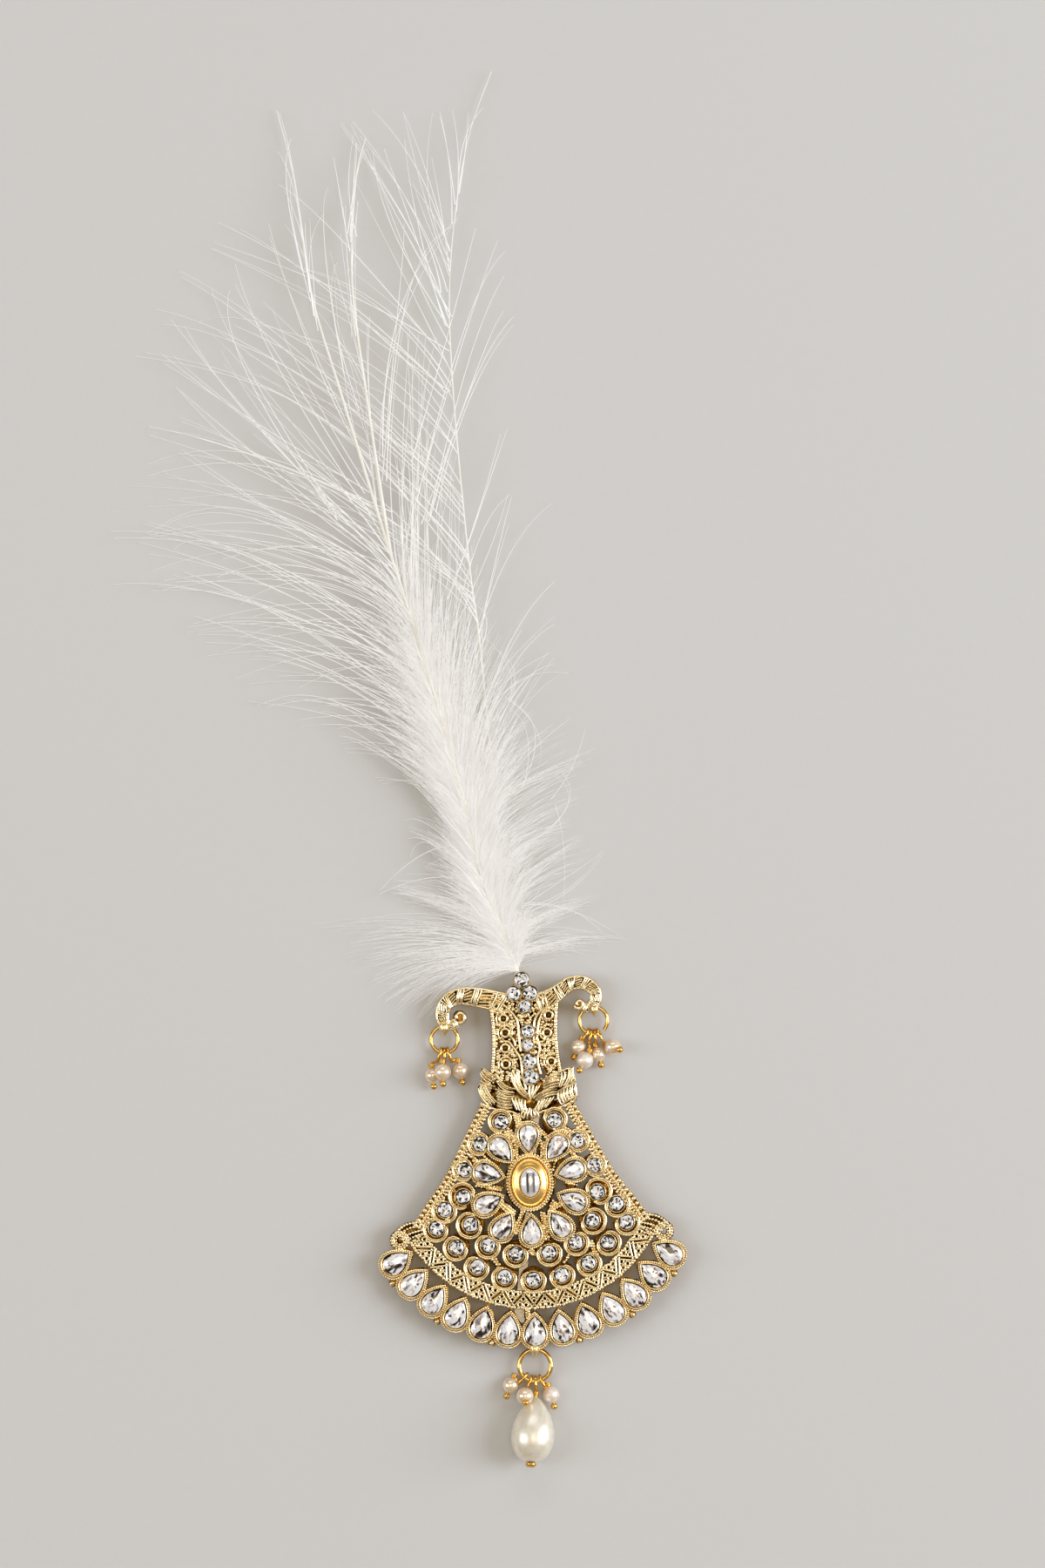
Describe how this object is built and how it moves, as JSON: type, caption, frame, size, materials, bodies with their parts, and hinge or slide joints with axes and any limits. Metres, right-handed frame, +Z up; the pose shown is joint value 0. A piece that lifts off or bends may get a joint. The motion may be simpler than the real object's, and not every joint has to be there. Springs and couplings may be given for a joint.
{
  "type": "kalgi turban ornament",
  "caption": "Pierced gold-plated turban brooch with clear stones, pearl drops and a white feather plume, lying on its back.",
  "frame": {"origin": "on the axis of the brooch pin's wire, behind the centre stone; the surface that the kalgi lies on is 0.6 mm below", "axes": "+Z up from the surface, towards the front of the jewel; +Y from the jewel towards the plume; +X to the right as it is looked at"},
  "size_m": [0.1051, 0.2674, 0.0085],
  "materials": {
    "gold": "pale gold plate, cast texture with darker recesses",
    "deep_gold": "deeper yellow gold plate, polished",
    "wire_gold": "polished gold-plated wire",
    "clear_stone": "clear cut stone with a silver foil back",
    "pearl": "cream pearl lustre, slightly uneven",
    "drop_pearl": "smooth ivory pearl lustre",
    "steel": "plain steel wire",
    "feather": "soft white feather barbs and down"
  },
  "bodies": {
    "root": {"casting": "gold", "centre_cup": "deep_gold", "centre_stone": "clear_stone", "scroll_stones": "clear_stone", "neck_stones": "clear_stone", "pearl_drop": "drop_pearl", "brooch_pin": "steel", "plume": "feather", "petal_stone_01": "clear_stone", "petal_stone_02": "clear_stone", "petal_stone_03": "clear_stone", "petal_stone_04": "clear_stone", "petal_stone_05": "clear_stone", "petal_stone_06": "clear_stone", "petal_stone_07": "clear_stone", "petal_stone_08": "clear_stone", "petal_stone_09": "clear_stone", "petal_stone_10": "clear_stone", "rim_stone_01": "clear_stone", "rim_stone_02": "clear_stone", "rim_stone_03": "clear_stone", "rim_stone_04": "clear_stone", "rim_stone_05": "clear_stone", "rim_stone_06": "clear_stone", "rim_stone_07": "clear_stone", "rim_stone_08": "clear_stone", "rim_stone_09": "clear_stone", "rim_stone_10": "clear_stone", "rim_stone_11": "clear_stone", "rim_stone_12": "clear_stone", "rim_stone_13": "clear_stone", "pearl_left_1": "pearl", "pearl_left_2": "pearl", "pearl_left_3": "pearl", "pearl_right_1": "pearl", "pearl_right_2": "pearl", "pearl_right_3": "pearl", "pearl_right_4": "pearl", "pearl_bottom_1": "pearl", "pearl_bottom_2": "pearl", "pearl_bottom_3": "pearl", "ring_left": "wire_gold", "ring_right": "wire_gold", "ring_bottom": "wire_gold", "pins_left": "wire_gold", "pins_right": "wire_gold", "pins_bottom": "wire_gold", "drop_pin": "wire_gold"}
  },
  "joints": []
}
